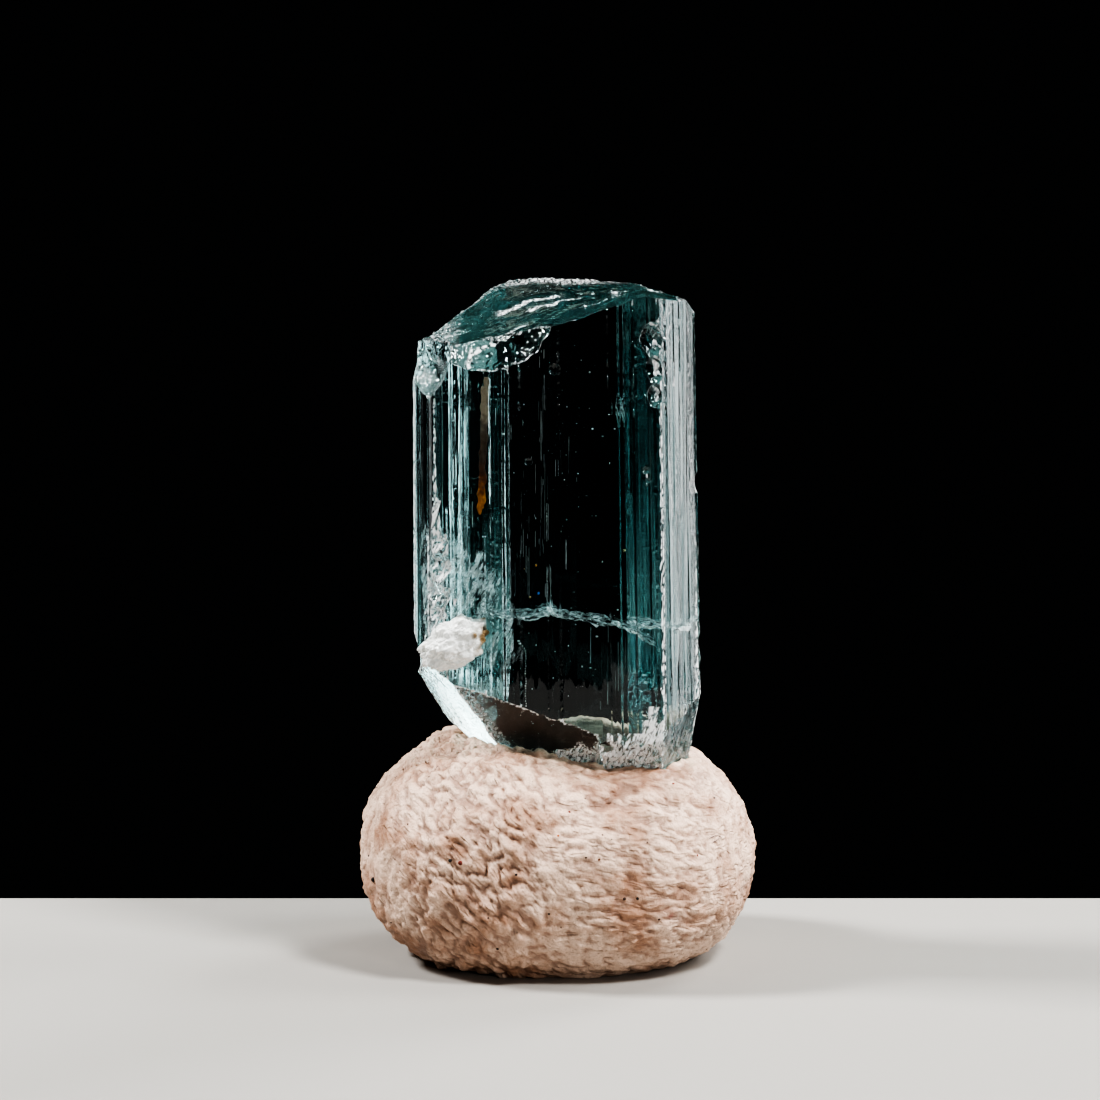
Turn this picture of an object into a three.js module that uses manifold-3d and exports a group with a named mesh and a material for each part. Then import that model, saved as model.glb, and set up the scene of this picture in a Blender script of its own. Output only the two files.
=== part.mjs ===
// A vanadium beryl crystal, a tabular six-sided prism broken at both ends, standing in a kneaded
// lump of mineral tack. Millimetres, +Z up. The prism's widest face looks along -Y.
import * as THREE from "three";
import { ImprovedNoise } from "three/addons/math/ImprovedNoise.js";
import { mergeVertices } from "three/addons/utils/BufferGeometryUtils.js";
import Module from "manifold-3d";

const wasm = await Module();
wasm.setup();

const degree = Math.PI / 180;
const mergeDistance = 1e-4;
const seatGap = 0.3; // clearance between the crystal and the two pieces that touch it

// ---- Driving dimensions ----

const prism = {
  turn: -5, // degrees that the front face is turned from -Y
  sideAngle: 60, // degrees from one face's normal to the next
  faceDistances: [4.4, 6.97, 5.36, 5.2, 5.02, 7.17], // axis to front face, then on round by +X
  flare: 0.021, // widening of the +X side, per mm downwards
  flareFrom: 24, // height where the flare is nil
  height: 40, // before the ends are broken off
};

const striation = {
  width: 0.8, // mean width of one vertical growth strip
  depth: 0.09, // deepest step between two strips
  unevenness: 0.6, // how far a strip's edge strays, as a share of its width
};

const brokenTop = {
  front: [
    [-7.5, 31.0],
    [-3.6, 31.4],
    [-1.8, 31.9],
    [1.2, 32.8],
    [4.2, 33.9],
    [7.5, 33.2],
  ],
  back: [
    [-7.5, 31.2],
    [-5.2, 32.5],
    [-3.6, 33.2],
    [-1.2, 33.6],
    [4.4, 33.4],
    [7.5, 32.6],
  ],
  frontY: -4.4,
  backY: 4.8,
  roughness: 0.34,
};

const brokenFoot = {
  height: 9.3,
  slope: 0.1, // rise per mm away from its middle
  middleX: 2,
  roughness: 0.25,
};

const breakRoom = { width: 18, depth: 13 }; // wider than the prism
const breakCell = { crystal: 0.68, socket: 1.6 }; // distance between the points of a break
const breakLump = 1.15; // size of the lumps on a broken face
const breakCrumb = 0.45; // size of the crumbs on top of them
const crumbShare = 0.35; // height of a crumb next to a lump
const noiseLayer = { top: 2, foot: 9, crumbs: 5 }; // which slice of the noise each break takes

// Flat breaks: a point on the break, and the way that it looks.
const facets = [
  { at: [-6.85, -1.5, 14.6], outward: [-0.66, -0.4, -0.64] }, // left bevel
  { at: [-4.6, -4.0, 14.3], outward: [-0.25, -0.8, -0.54] }, // front left bevel
  { at: [5.3, -4.8, 12.0], outward: [0.86, -0.42, -0.29] }, // right heel
  { at: [2, -4.6, 11.2], outward: [0.03, -0.78, -0.62] }, // front heel
  { at: [0, 5.2, 10.6], outward: [0.1, 0.75, -0.66] }, // back heel
  { at: [-5.6, 1.6, 12.4], outward: [-0.5, 0.45, -0.74] }, // back left bevel
  { at: [7.0, -2.2, 32.5], outward: [0.8, 0.05, 0.6] }, // top right bevel
];

// Shell-shaped chips: middle of the mouth, the way that it looks, radius of the mouth, depth.
const chips = [
  { at: [-3.4, -4.0, 31.0], outward: [-0.1, -0.75, 0.65], mouth: 2.2, depth: 0.55 }, // top front left
  { at: [-6.6, -2.9, 29.8], outward: [-0.72, -0.42, 0.55], mouth: 2.0, depth: 0.7 }, // top left corner
  { at: [-2.6, -4.25, 12.4], outward: [-0.1, -0.85, -0.5], mouth: 2.0, depth: 0.4 }, // foot, front left
  { at: [4.65, -4.83, 31.6], outward: [0.1, -0.98, 0.15], mouth: 0.85, depth: 0.26 }, // front, upper right
  { at: [4.75, -4.83, 30.2], outward: [0.15, -0.97, 0.1], mouth: 0.7, depth: 0.22 }, // below it
  { at: [4.75, -4.83, 29.0], outward: [0.15, -0.98, 0], mouth: 0.6, depth: 0.2 }, // the lowest of the three
  { at: [6.95, -2.3, 24.3], outward: [1, -0.1, 0.1], mouth: 0.55, depth: 0.25 }, // right edge
  { at: [-7.15, -1.6, 15.6], outward: [-1, -0.2, -0.15], mouth: 1.3, depth: 0.35 }, // above left bevel
  { at: [3.7, 4.8, 27.5], outward: [0.5, 0.86, 0], mouth: 0.8, depth: 0.26 }, // back right edge
  { at: [4.6, 3.2, 13.5], outward: [0.8, 0.4, -0.4], mouth: 1.5, depth: 0.5 }, // back right, low
];
const chipRipple = 0.05; // height of a chip's ripples, as a share of its mouth
const chipDetail = { least: 3, perSpread: 3.4 }; // faces round a chip's ball, growing as it gets shallower
const cutterReach = 12; // half width of the box behind a flat break

const feldspar = {
  at: [-5.1, -3.95, 16.55],
  halfSize: [1.6, 0.75, 1.0],
  tilt: -28, // degrees, about Y
  roughness: 0.3, // height of its bumps, as a share of its size
  bumps: 2, // bumps to the blob's half size
  faces: 4, // faces along one edge of the ball that it starts from
};

const tack = {
  middle: 5.07, // height of the widest level
  halfSize: [9.85, 8.8, 6.27],
  squareness: 2.4, // 2 is an ellipsoid, more is boxier
  offsetY: 0.2,
  columns: 66,
  rows: 40,
  lumpHeight: 0.22, // of the broad unevenness left by kneading
  lumpSize: 3.1,
  shoulder: [0.3, 0.75], // upward slope of the skin where the lip starts and where it is whole
  lipHeight: 0.35, // raised rim of tack squeezed up round the crystal
  lipWidth: 1.3,
};

// Thumb dents in the tack: the way out from its middle, radius, depth. A depth below 0 is a swelling.
const dents = [
  { outward: [-0.62, -0.62, 0.42], radius: 2.3, depth: 0.38 },
  { outward: [-0.38, -0.9, 0.1], radius: 1.9, depth: 0.24 },
  { outward: [0.25, -0.62, 0.74], radius: 2.8, depth: 0.75 },
  { outward: [0.1, -0.92, 0.4], radius: 1.6, depth: 0.2 },
  { outward: [0.75, -0.6, 0.3], radius: 2.2, depth: 0.22 },
  { outward: [0.9, 0.4, 0.1], radius: 3.0, depth: 0.35 },
  { outward: [-0.2, 1.0, 0.2], radius: 3.2, depth: 0.4 },
  { outward: [0.26, 0.69, 0.68], radius: 2.6, depth: -1.1 },
  { outward: [-0.85, 0.5, -0.05], radius: 2.6, depth: 0.25 },
];

// ---- Helpers ----

const perlin = new ImprovedNoise();

// A repeatable number between 0 and 1 for each whole n.
function scatter(n) {
  const value = Math.sin(n * 127.1 + 11.7) * 43758.5453;
  return value - Math.floor(value);
}

function alongProfile(points, x) {
  const next = points.findIndex(([px]) => px > x);
  if (next === 0) return points[0][1];
  if (next < 0) return points[points.length - 1][1];
  const [x0, z0] = points[next - 1];
  const [x1, z1] = points[next];
  return THREE.MathUtils.mapLinear(x, x0, x1, z0, z1);
}

function moveVertices(geometry, move) {
  const position = geometry.attributes.position;
  const point = new THREE.Vector3();
  for (let i = 0; i < position.count; i++) {
    point.fromBufferAttribute(position, i);
    move(point);
    position.setXYZ(i, point.x, point.y, point.z);
  }
  return geometry;
}

function solidOf(geometry) {
  const bare = geometry.clone();
  bare.deleteAttribute("normal");
  bare.deleteAttribute("uv");
  const merged = mergeVertices(bare, mergeDistance);
  return new wasm.Manifold(
    new wasm.Mesh({
      numProp: 3,
      vertProperties: merged.attributes.position.array,
      triVerts: new Uint32Array(merged.index.array),
    }),
  );
}

function geometryOf(solid) {
  const mesh = solid.getMesh();
  const geometry = new THREE.BufferGeometry();
  geometry.setAttribute("position", new THREE.BufferAttribute(new Float32Array(mesh.vertProperties), 3));
  geometry.setIndex(new THREE.BufferAttribute(new Uint32Array(mesh.triVerts), 1));
  geometry.computeVertexNormals();
  return geometry;
}

// ---- Crystal ----

function prismFaces(grow) {
  return prism.faceDistances.map((distance, side) => {
    const angle = (prism.turn + side * prism.sideAngle) * degree;
    return { outward: new THREE.Vector2(Math.sin(angle), -Math.cos(angle)), distance: distance + grow };
  });
}

function cornerOf(a, b) {
  const cross = a.outward.cross(b.outward);
  return new THREE.Vector2(
    (a.distance * b.outward.y - b.distance * a.outward.y) / cross,
    (b.distance * a.outward.x - a.distance * b.outward.x) / cross,
  );
}

// One face of the prism in plan, as strips that step in and out by a hair.
function stripsAlong(start, end, outward, side) {
  const count = Math.max(3, Math.round(start.distanceTo(end) / striation.width));
  const points = [start];
  let inset = 0;
  for (let strip = 1; strip < count; strip++) {
    const share = (strip + striation.unevenness * (scatter(strip + 31 * side) - 0.5)) / count;
    const edge = new THREE.Vector2().lerpVectors(start, end, share);
    points.push(edge.clone().addScaledVector(outward, -inset));
    inset = strip === count - 1 ? 0 : striation.depth * scatter(3 * strip + 17 * side);
    points.push(edge.clone().addScaledVector(outward, -inset));
  }
  return points;
}

function prismSolid(grow) {
  const faces = prismFaces(grow);
  const outline = faces.flatMap((face, side) => {
    const start = cornerOf(faces[(side + 5) % 6], face);
    const end = cornerOf(face, faces[(side + 1) % 6]);
    return grow > 0 ? [start] : stripsAlong(start, end, face.outward, side);
  });
  const bar = new THREE.ExtrudeGeometry(new THREE.Shape(outline), {
    depth: prism.height,
    bevelEnabled: false,
  });
  const halfWidth = Math.max(...prism.faceDistances);
  moveVertices(bar, (point) => {
    const share = (point.x + halfWidth) / (2 * halfWidth);
    point.x += prism.flare * share * (prism.flareFrom - point.z);
  });
  return solidOf(bar);
}

// Height of a break's lumps and crumbs at a place, from about -1 to 1.
function breakRelief(x, y, layer) {
  const lump = perlin.noise(x / breakLump, y / breakLump, layer);
  const crumb = perlin.noise(x / breakCrumb, y / breakCrumb, layer + noiseLayer.crumbs);
  return lump + crumbShare * crumb;
}

function topHeight(x, y) {
  const share = THREE.MathUtils.smoothstep(y, brokenTop.frontY, brokenTop.backY);
  const front = alongProfile(brokenTop.front, x);
  const back = alongProfile(brokenTop.back, x);
  const relief = breakRelief(x, y, noiseLayer.top);
  return THREE.MathUtils.lerp(front, back, share) + brokenTop.roughness * relief;
}

function footHeight(x, y) {
  const tilt = brokenFoot.slope * Math.abs(x - brokenFoot.middleX);
  return brokenFoot.height + tilt + brokenFoot.roughness * breakRelief(x, y, noiseLayer.foot);
}

// All the room between the two breaks, as a box with its top and bottom moved to them.
function roomBetweenBreaks(grow) {
  const cell = grow > 0 ? breakCell.socket : breakCell.crystal;
  const { width, depth } = breakRoom;
  const box = new THREE.BoxGeometry(width, depth, 1, Math.round(width / cell), Math.round(depth / cell), 1);
  moveVertices(box, (point) => {
    const isTop = point.z > 0;
    point.z = isTop ? topHeight(point.x, point.y) + grow : footHeight(point.x, point.y) - grow;
  });
  return solidOf(box);
}

// Everything on the outer side of a flat break.
function facetCutter({ at, outward }, grow) {
  const box = new THREE.BoxGeometry(2 * cutterReach, 2 * cutterReach, cutterReach);
  const way = new THREE.Vector3(...outward).normalize();
  box.translate(0, 0, cutterReach / 2 + grow);
  box.applyQuaternion(new THREE.Quaternion().setFromUnitVectors(new THREE.Vector3(0, 0, 1), way));
  box.translate(...at);
  return solidOf(box);
}

// A big rough ball that leaves a shell-shaped hollow where it meets the crystal.
function chipCutter({ at, outward, mouth, depth }) {
  const radius = (mouth ** 2 + depth ** 2) / (2 * depth);
  const spread = radius / mouth;
  const detail = Math.round(chipDetail.least + chipDetail.perSpread * spread);
  const ball = new THREE.IcosahedronGeometry(radius, detail);
  moveVertices(ball, (point) => {
    const ripple = perlin.noise(point.x + at[0], point.y + at[1], point.z + at[2]);
    point.multiplyScalar(1 + (chipRipple * ripple) / spread);
  });
  const middle = new THREE.Vector3(...outward).setLength(radius - depth);
  ball.translate(at[0] + middle.x, at[1] + middle.y, at[2] + middle.z);
  return solidOf(ball);
}

function feldsparBlob(grow) {
  const blob = new THREE.IcosahedronGeometry(1, feldspar.faces);
  const [a, b, c] = feldspar.halfSize;
  moveVertices(blob, (point) => {
    const place = point.clone().multiplyScalar(feldspar.bumps);
    point.multiplyScalar(1 + feldspar.roughness * perlin.noise(place.x, place.y, place.z));
    point.set(point.x * (a + grow), point.y * (b + grow), point.z * (c + grow));
  });
  blob.rotateY(feldspar.tilt * degree);
  blob.translate(...feldspar.at);
  return solidOf(blob);
}

function crystalSolid() {
  let solid = prismSolid(0).intersect(roomBetweenBreaks(0));
  for (const facet of facets) solid = solid.subtract(facetCutter(facet, 0));
  for (const chip of chips) solid = solid.subtract(chipCutter(chip));
  return solid.subtract(feldsparBlob(seatGap));
}

// The crystal's foot without its fine relief, grown by the clearance.
function crystalSocket() {
  let solid = prismSolid(seatGap).intersect(roomBetweenBreaks(seatGap));
  for (const facet of facets) solid = solid.subtract(facetCutter(facet, seatGap));
  return solid;
}

// ---- Mineral tack ----

// Distance from the tack's middle to its skin before dents, for a unit direction.
function plainReach(way) {
  const [a, b, c] = tack.halfSize;
  const power = tack.squareness;
  const sum = Math.abs(way.x / a) ** power + Math.abs(way.y / b) ** power + Math.abs(way.z / c) ** power;
  return sum ** (-1 / power);
}

function dentDepth(way, reach) {
  return dents.reduce((sum, { outward, radius, depth }) => {
    const away = way.angleTo(new THREE.Vector3(...outward)) * reach;
    return sum + depth * Math.exp(-((away / radius) ** 2));
  }, 0);
}

// How far a place in plan lies outside the crystal, in mm. Negative inside it.
function outsideCrystal(x, y) {
  return Math.max(...prismFaces(0).map((face) => face.outward.x * x + face.outward.y * y - face.distance));
}

function tackSolid() {
  const ball = new THREE.SphereGeometry(1, tack.columns, tack.rows);
  ball.rotateX(90 * degree);
  moveVertices(ball, (point) => {
    const way = point.clone().normalize();
    const reach = plainReach(way);
    const place = way.clone().multiplyScalar(reach / tack.lumpSize);
    const lump = tack.lumpHeight * perlin.noise(place.x, place.y, place.z);
    point.copy(way).multiplyScalar(reach + lump - dentDepth(way, reach));
    const upper = THREE.MathUtils.smoothstep(way.z, ...tack.shoulder);
    const outside = outsideCrystal(point.x, point.y + tack.offsetY);
    const lip = Math.exp(-(((outside - tack.lipWidth) / tack.lipWidth) ** 2));
    point.z += upper * tack.lipHeight * lip;
    point.y += tack.offsetY;
    point.z = Math.max(0, point.z + tack.middle);
  });
  return solidOf(ball).subtract(crystalSocket());
}

// ---- The finished pieces ----

const finishes = {
  crystal: new THREE.MeshStandardMaterial({ color: 0x8fc9c6, roughness: 0.05, metalness: 0 }),
  feldspar: new THREE.MeshStandardMaterial({ color: 0xdcd8c8, roughness: 0.85, metalness: 0 }),
  tack: new THREE.MeshStandardMaterial({ color: 0xd9bfae, roughness: 0.75, metalness: 0 }),
};

function piece(name, solid, finish) {
  const mesh = new THREE.Mesh(geometryOf(solid), finish);
  mesh.name = name;
  return mesh;
}

const pieces = new THREE.Group();
pieces.add(piece("beryl_crystal", crystalSolid(), finishes.crystal));
pieces.add(piece("feldspar_patch", feldsparBlob(0), finishes.feldspar));
pieces.add(piece("tack_lump", tackSolid(), finishes.tack));

// The origin is the bottom centre of the whole specimen.
const bounds = new THREE.Box3().setFromObject(pieces);
const middle = bounds.getCenter(new THREE.Vector3());
pieces.position.set(-middle.x, -middle.y, -bounds.min.z);

const specimen = new THREE.Group();
specimen.add(pieces);

export default specimen;
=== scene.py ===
import math
import random

import bpy
from mathutils import Matrix, Vector, noise
from mathutils.bvhtree import BVHTree


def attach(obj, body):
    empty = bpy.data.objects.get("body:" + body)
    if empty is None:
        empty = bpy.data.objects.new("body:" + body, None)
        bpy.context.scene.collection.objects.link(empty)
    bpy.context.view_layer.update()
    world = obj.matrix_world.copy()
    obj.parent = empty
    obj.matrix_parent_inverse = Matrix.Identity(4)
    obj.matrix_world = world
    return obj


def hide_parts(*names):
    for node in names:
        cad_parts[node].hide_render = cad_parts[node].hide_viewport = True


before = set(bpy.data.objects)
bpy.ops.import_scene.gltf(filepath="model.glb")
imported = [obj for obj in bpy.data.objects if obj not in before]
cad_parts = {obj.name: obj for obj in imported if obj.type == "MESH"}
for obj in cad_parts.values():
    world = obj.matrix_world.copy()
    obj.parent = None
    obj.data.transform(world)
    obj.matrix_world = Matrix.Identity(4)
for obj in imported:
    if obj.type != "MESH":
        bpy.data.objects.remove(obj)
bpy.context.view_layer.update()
mm = 0.001

# The prism's axis, as the frame places it: the crystal's box is centred with the whole specimen.
specimenShift = Vector((0.048, -0.077, 0)) * mm


def selectOnly(piece):
    bpy.ops.object.select_all(action="DESELECT")
    piece.select_set(True)
    bpy.context.view_layer.objects.active = piece


def startEdit(piece, kind="FACE"):
    selectOnly(piece)
    bpy.ops.object.mode_set(mode="EDIT")
    bpy.ops.mesh.select_mode(type=kind)
    bpy.ops.mesh.select_all(action="SELECT")


def endEdit():
    bpy.ops.object.mode_set(mode="OBJECT")


def extrudeUp(rise):
    bpy.ops.mesh.extrude_region_move(TRANSFORM_OT_translate={"value": (0, 0, rise)})


def turnFacesOut():
    bpy.ops.mesh.select_all(action="SELECT")
    bpy.ops.mesh.normals_make_consistent(inside=False)


def namePiece(name):
    piece = bpy.context.active_object
    piece.name = name
    piece.data.name = name
    return piece


def applyPlace(piece):
    selectOnly(piece)
    bpy.ops.object.transform_apply(location=True, rotation=True, scale=True)


def moveVertices(piece, move):
    for vertex in piece.data.vertices:
        vertex.co = move(vertex.co.copy())
    piece.data.update()


def smoothFaces(piece, degrees):
    selectOnly(piece)
    bpy.ops.object.shade_smooth_by_angle(angle=math.radians(degrees))


# A slab whose lower face is a grid: how many cells, its size and scale, and its thickness.
def makeSlab(name, cells, size, scale, rise):
    bpy.ops.mesh.primitive_grid_add(x_subdivisions=cells[0], y_subdivisions=cells[1], size=size)
    slab = namePiece(name)
    slab.scale = scale
    applyPlace(slab)
    startEdit(slab)
    extrudeUp(rise)
    turnFacesOut()
    endEdit()
    return slab


# Balls and bars go into one piece while it is in edit mode, so what is small and many stays one mesh.
def startJoined(name):
    bpy.ops.mesh.primitive_cube_add(size=0.1 * mm)
    piece = namePiece(name)
    startEdit(piece)
    bpy.ops.mesh.delete(type="VERT")
    return piece


def addBall(place, radius, cuts):
    bpy.ops.mesh.primitive_ico_sphere_add(subdivisions=cuts, radius=radius * mm, location=place)


def cutBoolean(piece, other, operation):
    selectOnly(piece)
    modifier = piece.modifiers.new("cut", "BOOLEAN")
    modifier.operation = operation
    modifier.object = other
    modifier.solver = "EXACT"
    bpy.ops.object.modifier_apply(modifier="cut")
    bpy.data.objects.remove(other)


def surfaceTree(piece):
    mesh = piece.data
    return BVHTree.FromPolygons([v.co for v in mesh.vertices], [p.vertices for p in mesh.polygons])


def addMarks(piece, name, domain, values):
    marks = piece.data.attributes.new(name, "FLOAT", domain)
    marks.data.foreach_set("value", values)


def alongProfile(points, x):
    if x <= points[0][0]:
        return points[0][1]
    for (x0, z0), (x1, z1) in zip(points, points[1:]):
        if x < x1:
            return z0 + (z1 - z0) * (x - x0) / (x1 - x0)
    return points[-1][1]


def smoothStep(value, low, high):
    share = min(1, max(0, (value - low) / (high - low)))
    return share * share * (3 - 2 * share)


def bell(value, middle, width):
    return math.exp(-((value - middle) / width) ** 2)


def noiseAt(x, y, z):
    return noise.noise(Vector((x, y, z)))


# 0 on the walls between cells about one unit wide, more inside them.
def insideCell(place):
    near, second, _, _ = noise.voronoi(place)[0]
    return second - near


# A value for an input, or a node or socket to link to it.
def setInputs(node, inputs):
    for key, value in inputs.items():
        source = value.outputs[0] if isinstance(value, bpy.types.Node) else value
        if isinstance(source, bpy.types.NodeSocket):
            node.id_data.links.new(source, node.inputs[key])
        else:
            node.inputs[key].default_value = source


def addNode(tree, kind, inputs=None, **settings):
    node = tree.nodes.new("ShaderNode" + kind)
    for key, value in settings.items():
        setattr(node, key, value)
    setInputs(node, inputs or {})
    return node


def toLinear(hexColour):
    channels = [int(hexColour[i:i + 2], 16) / 255 for i in (0, 2, 4)]
    return [c / 12.92 if c <= 0.04045 else ((c + 0.055) / 1.055) ** 2.4 for c in channels] + [1]


def setStops(ramp, stops):
    for index, (position, colour) in enumerate(stops):
        stop = ramp.elements[index] if index < 2 else ramp.elements.new(position)
        stop.position = position
        stop.color = colour


# How a Map Range node turns one span of values into another.
def spans(low, high, toLow, toHigh):
    return {"From Min": low, "From Max": high, "To Min": toLow, "To Max": toHigh}


# A new material, its node tree, and its Principled surface with these values.
def startMaterial(name, inputs):
    material = bpy.data.materials.new(name)
    material.use_nodes = True
    surface = material.node_tree.nodes["Principled BSDF"]
    setInputs(surface, inputs)
    return material, material.node_tree, surface


prism = {
    "turn": -5,  # degrees that the front face is turned from -Y
    "faceDistances": [4.4, 6.97, 5.36, 5.2, 5.02, 7.17],  # mm, front face first, then round by +X
    "width": 14.34,
    "flare": 0.021,  # widening of the +X side per mm downwards
    "flareFrom": 24,
    "bottom": 8.0, "top": 35.5, "levels": 40,
    "columnWidth": 0.075,  # mm between outline points
}

striae = {
    "ledgeWidth": 0.62, "ledgeDepth": 0.085,  # the growth ledges that show from a step away
    "lineWidth": 0.17, "lineDepth": 0.022,  # the fine striations on them
    "runLength": 7.5, "steppedFrom": 0.6,  # mm that a ledge goes before some of them end in a step
    "ledgeTilt": 0.045,  # how far a ledge leans over its width
    "cornerFade": 0.12,
    # By side, the front first: how strong the ledges are, the fine lines in the gloss, and the satin wear.
    "strength": [0.22, 0.62, 0.9, 0.25, 1.0, 0.35],
    "lineGloss": [0.1, 0.8, 0.8, 0.12, 0.9, 0.25], "breakGloss": 0.15,
    "satin": [0.0, 0.26, 0.0, 0.0, 0.0, 0.0],
}

breaks = {
    "topFront": [(-7.5, 31.0), (-3.6, 31.4), (-1.8, 31.9), (1.2, 32.8), (4.2, 33.9), (7.5, 33.2)],
    "topBack": [(-7.5, 31.2), (-5.2, 32.5), (-3.6, 33.2), (-1.2, 33.6), (4.4, 33.4), (7.5, 32.6)],
    "topFrontY": -4.4, "topBackY": 4.8,
    "uneven": (1.15, 0.42, 1.9, 1.3),  # mm across a break's lumps and grit, and its ridges' length and width
    "topRelief": 0.045, "crumbRelief": 0.14, "crumbSize": 0.3, "crumbCell": 0.45,
    "dip": 0.24, "dipY": 2.3, "dipWidth": 1.1,  # a shallow hollow before the back crest
    "crest": (3.1, 4.5), "corner": (3.9, 5.6),  # y, and -x, over which the crumbly crest and corner start
    # Crushed ridges over the broken top: y where x is 0, slope, middle x, half length, half width, in mm.
    "ridges": [(1.6, 0.5, -1.4, 1.55, 0.4), (0.1, 0.3, -0.2, 1.3, 0.18), (-2.0, 0.35, -3.0, 1.5, 0.2),
               (1.0, -0.1, 3.4, 1.8, 0.2), (-1.9, 0.2, 2.2, 1.4, 0.16)],
    "terraceStep": 0.07, "terraceWidth": 2.1, "terraceFrom": (6.5, -7.0),  # shell-like steps over the top
    "footHeight": 9.35, "footSlope": 0.1, "footMiddle": 2, "footRelief": 0.15,
    "roomSize": (17.4, 12.6), "cell": 0.13,
}

breakFace = {"size": 13, "cells": 90, "lump": 1.6, "ringRate": 4.5, "ringHeight": 0.012, "crumb": 0.42}

# The front of the foot is crushed: over which x that starts, its upper rim along x, how wide the rim
# fades and how high its crumbs are.
crush = {
    "right": (-1.4, -0.4),
    "rim": [(-1.4, 11.1), (1.0, 11.5), (2.8, 11.9), (3.9, 12.6), (4.9, 13.5)],
    "fade": 0.7, "relief": 0.17,
}

# Flat breaks: a point on the break, and the way it looks, in mm from the prism's axis,
# then how far it is worn white, and the height of its lumps and of its crumbs.
flatBreaks = [
    ((-6.85, -1.5, 14.6), (-0.66, -0.4, -0.64), 0.22, 0.06, 0.012),  # left bevel
    ((-4.6, -4.0, 14.3), (-0.25, -0.8, -0.54), 0.06, 0.09, 0.006),  # front left bevel
    ((5.3, -4.8, 12.0), (0.86, -0.42, -0.29), 0.2, 0.05, 0.04),  # right heel
    ((2, -4.6, 11.2), (0.03, -0.78, -0.62), 0.12, 0.16, 0.06),  # front heel
    ((0, 5.2, 10.6), (0.1, 0.75, -0.66), 0.12, 0.08, 0.08),  # back heel
    ((-5.6, 1.6, 12.4), (-0.5, 0.45, -0.74), 0.12, 0.08, 0.04),  # back left bevel
    ((7.0, -2.2, 32.5), (0.8, 0.05, 0.6), 0.25, 0.05, 0.05),  # top right bevel
]

# Ragged upright edges: which corner, then heights with the depth of the nibbling there.
raggedEdges = [
    (0, [(13, 0.12), (18, 0.4), (20.5, 0.3), (22.5, 0.16), (25, 0.1), (29, 0.06), (32, 0.05)]),
    (1, [(12, 0.1), (18, 0.06), (22, 0.07), (26, 0.04), (30, 0.05), (33, 0.1)]),
    (2, [(12, 0.05), (15, 0.08), (24, 0.04), (27, 0.06), (33, 0.05)]),
    (5, [(14, 0.1), (19, 0.05), (24, 0.04), (31, 0.07)]),
]
nibbling = {"width": 3.2, "cell": 0.1, "outside": 1.2, "lean": 0.5}

# Shell-shaped chips: middle of the mouth, the way it looks, radius of the mouth, depth.
chips = [
    ((-3.4, -4.0, 31.0), (-0.1, -0.75, 0.65), 2.2, 0.55),  # top front left
    ((-6.6, -2.9, 29.8), (-0.72, -0.42, 0.55), 2.0, 0.7),  # top left corner
    ((-2.6, -4.25, 12.4), (-0.1, -0.85, -0.5), 2.0, 0.4),  # foot, front left
    ((4.65, -4.83, 31.6), (0.1, -0.98, 0.15), 0.85, 0.26),  # front, upper right
    ((4.75, -4.83, 30.2), (0.15, -0.97, 0.1), 0.7, 0.22),
    ((4.75, -4.83, 29.0), (0.15, -0.98, 0), 0.6, 0.2),
    ((6.95, -2.3, 24.3), (1, -0.1, 0.1), 0.55, 0.25),  # right edge
    ((-7.15, -1.6, 15.6), (-1, -0.2, -0.15), 1.3, 0.35),  # above the left bevel
    ((3.7, 4.8, 27.5), (0.5, 0.86, 0), 0.8, 0.26),  # back right edge
    ((4.6, 3.2, 13.5), (0.8, 0.4, -0.4), 1.5, 0.5),  # back right, low
    ((-0.8, -4.36, 12.75), (-0.3, -0.95, -0.2), 0.42, 0.13),  # small leaf-shaped chip over the front heel
    ((-0.5, -4.4, 12.3), (-0.1, -0.95, -0.25), 0.45, 0.14),
    ((-0.2, -4.4, 11.8), (0.1, -0.95, -0.3), 0.45, 0.14),
    ((0.9, -4.5, 11.6), (0.1, -0.9, -0.4), 0.5, 0.12),
    ((2.6, -4.6, 11.5), (-0.1, -0.9, -0.4), 0.6, 0.12),
    ((-1.5, -4.27, 25.65), (0, -1, 0), 0.2, 0.05),  # etched pits on the front
    ((-0.2, -4.38, 30.2), (0, -1, 0.1), 0.28, 0.08),
    ((4.3, -4.8, 25.3), (0, -1, 0), 0.22, 0.06),
    ((4.4, -4.8, 24.8), (0, -1, 0), 0.16, 0.05),
]
chipShell = {
    "flatFrom": 1.6,  # ball radius by mouth radius, past which a chip is flat and its ball has more faces
    "bigFrom": 1.6, "bigRipple": 0.05, "smallRipple": 0.13, "ringHeight": 0.01, "rings": 2.6,
}

wear = {
    # A face is on a grown side if it looks this nearly the same way, and on a flat break within this in mm.
    "sideCosine": 0.985, "breakReach": 0.35,
    "topFrom": 28, "footTo": 10.6, "calm": (21.5, 6.5),  # the last: middle and half height of the quiet part
    "edgeAngle": 0.55, "edgeCell": 0.03,  # angle from which an edge is worn white, and its largest face, mm2
    "edgeLow": 0.65, "edgeHigh": 0.25,  # how white such edges are below and above "edgeRise"
    "edgeRise": (26, 29),
    "rim": 0.5, "foot": 0.12, "bare": 0.05, "heelFace": 0.6,
    "raggedRight": 0.5, "raggedLow": 0.65, "raggedHigh": 0.3, "raggedRise": (20, 27),
    "topBare": 0.04, "ridges": 0.62, "crest": 0.35, "topCorner": 0.14,
    "hackleChips": 3, "hackleEnds": 0.9, "hackleMiddle": 0.3,
}


# Each side's way out, and how far it is from the axis.
def prismSides():
    sides = []
    for side, distance in enumerate(prism["faceDistances"]):
        angle = math.radians(prism["turn"] + 60 * side)
        sides.append((Vector((math.sin(angle), -math.cos(angle))), distance))
    return sides


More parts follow.
